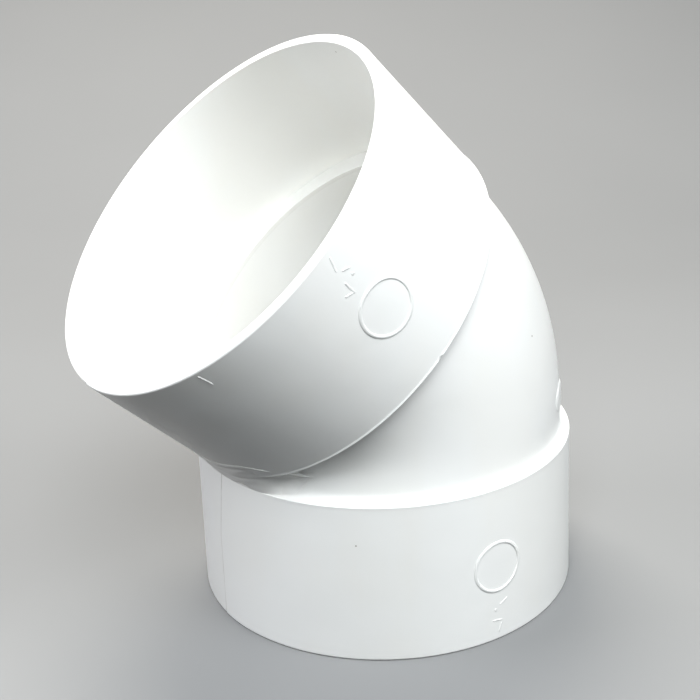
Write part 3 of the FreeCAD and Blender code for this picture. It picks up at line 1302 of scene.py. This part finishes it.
@dataclass(frozen=True)
class Studio:
    """Floor, lights and camera.

    Attributes:
        azimuth: The camera's azimuth in degrees.
        elevation: Its height above the horizon in degrees.
        roll: Its turn about the line of sight in degrees.
        target: The point that it looks at, in metres.
        far: Its distance in metres.
        lens: Focal length in mm on a 36 mm frame.
        ambient: Strength of the even light from all sides.
        lights: The soft lights.
    """

    azimuth: float = -31.50
    elevation: float = 20.46
    roll: float = -2.59
    target: Triple = (-0.01391, -0.00474, 0.07876)
    far: float = 0.3687
    lens: float = 61.86
    ambient: float = 0.006
    lights: tuple[SoftLight, ...] = (
        SoftLight("front_softbox", -31.5, 50.0, 6.6, (0.95, 0.985, 1.0)),
        SoftLight("low_front_softbox", -31.5, 35.0, 3.0, (0.93, 0.98, 1.0)),
        SoftLight("top_softbox", -1.5, 62.0, 2.4, (0.99, 0.99, 0.97)),
        SoftLight("high_right_softbox", 13.5, 50.0, 1.4, (0.98, 0.99, 1.0)),
        SoftLight("right_softbox", 28.5, 35.0, 4.8, (0.94, 0.975, 1.0)),
        SoftLight("side_softbox", 58.5, 20.0, 1.2, (0.90, 0.95, 1.0)),
        SoftLight("left_softbox", -121.5, 20.0, 6.2, (0.94, 0.95, 1.0)),
        SoftLight("rear_softbox", 163.5, 62.0, 13.0, (1.0, 0.965, 0.89)),
    )

    def floor(self) -> bpy.types.Object:
        """The pale floor, level to 0.3 m behind the middle and then rising as a backdrop.

        Past that line it climbs with the root of a quarter plus the squared distance.

        Returns:
            The floor.
        """
        x, y = np.meshgrid(np.linspace(-4.0, 4.0, 17), np.linspace(-2.0, 2.5, 181),
                           indexing="ij")
        turn = math.radians(self.azimuth)
        past = np.clip(y - 0.3, 0.0, None)
        z = 0.9 * (np.sqrt(0.25 + past**2) - 0.5) - 0.00002
        points = points_of(x * math.cos(turn) - y * math.sin(turn),
                           x * math.sin(turn) + y * math.cos(turn), z)
        rows, columns = x.shape
        i, j = np.meshgrid(np.arange(rows - 1), np.arange(columns - 1), indexing="ij")
        first = (i * columns + j).ravel()
        quads = np.stack((first, first + columns, first + columns + 1, first + 1), axis=-1)
        mesh = bpy.data.meshes.new("studio_floor")
        mesh.from_pydata(points.reshape(-1, 3).tolist(), [], quads.tolist())
        mesh.shade_smooth()
        mesh.materials.append(PaleFloor().build())
        made = put("studio_floor", mesh)
        made.visible_diffuse = False
        return made

    def build(self) -> None:
        """Adds the floor, the lights, the even light and the camera."""
        scene = bpy.context.scene
        self.floor()
        middle = np.array([(a + b) / 2.0 for a, b in zip(*CAD_BOX)])
        for light in self.lights:
            light.place(middle)
        world = bpy.data.worlds.new("even_light")
        world.use_nodes = True
        even = world.node_tree.nodes["Background"]
        even.inputs["Color"].default_value = (0.96, 0.98, 1.0, 1.0)
        even.inputs["Strength"].default_value = self.ambient
        scene.world = world
        data = bpy.data.cameras.new("view")
        data.sensor_width = 36.0
        data.lens = self.lens
        data.clip_start, data.clip_end = 0.01, 50.0
        data.dof.use_dof = False
        camera = put("view", data)
        back = heading_of(self.azimuth, self.elevation)
        camera.matrix_world = looking_matrix(
            np.array(self.target) + back * self.far, back, self.roll)
        scene.camera = camera
        scene.view_settings.view_transform = "Standard"
        scene.view_settings.look = "None"


# ---- the whole elbow ----


def main() -> None:
    """Builds the elbow and the studio."""
    logging.basicConfig(level=logging.INFO, format="%(name)s: %(message)s")
    record = frame["record"]
    maker = PieceMaker(MouldedPvc().build())
    steps = TurnSteps()
    lower = Hub(
        End.LOWER, SocketFrame.of(record, End.LOWER), steps,
        edge_bead=0.04, shoulder_round=0.40, seam_start=-0.5, seam_drift=2.7,
        ring_place=24.5, ring_turn=-0.6,
        bars=(
            RaisedBar(1.3, 12.3, 3.4, 0.65, 62.0),
            RaisedBar(-1.6, 10.3, 1.1, 1.1, 0.0, boxy=2.0),
            RaisedBar(-1.0, 6.6, 3.6, 0.65, 98.0),
            RaisedBar(0.0, 3.9, 3.2, 0.65, 20.0),
        ))
    upper = Hub(
        End.UPPER, SocketFrame.of(record, End.UPPER), steps,
        ring_place=25.2, ring_turn=0.55, nick_depth=0.30,
        bars=(
            RaisedBar(1.3, 4.3, 4.6, 0.65, 22.0),
            RaisedBar(0.0, 8.1, 2.4, 0.6, -58.0, height=0.18),
            RaisedBar(-0.3, 10.6, 1.1, 1.1, 0.0, boxy=2.0),
            RaisedBar(2.9, 12.4, 4.4, 0.65, 2.0),
            RaisedBar(4.2, 13.6, 2.8, 0.65, -66.0),
        ))
    bend = BendTube(steps, seam_drift=lower.seam_drift)
    for part in (lower, bend, upper):
        part.build(maker)
    ThroatWeb(lower, upper).build(maker)
    tick = RaisedBar(45.6, 3.9, 4.7, 0.55, -10.0, height=0.17)
    maker.piece("upper_rim_tick", upper.bar_sheets([tick]))
    Studio().build()


if __name__ == "__main__":
    main()
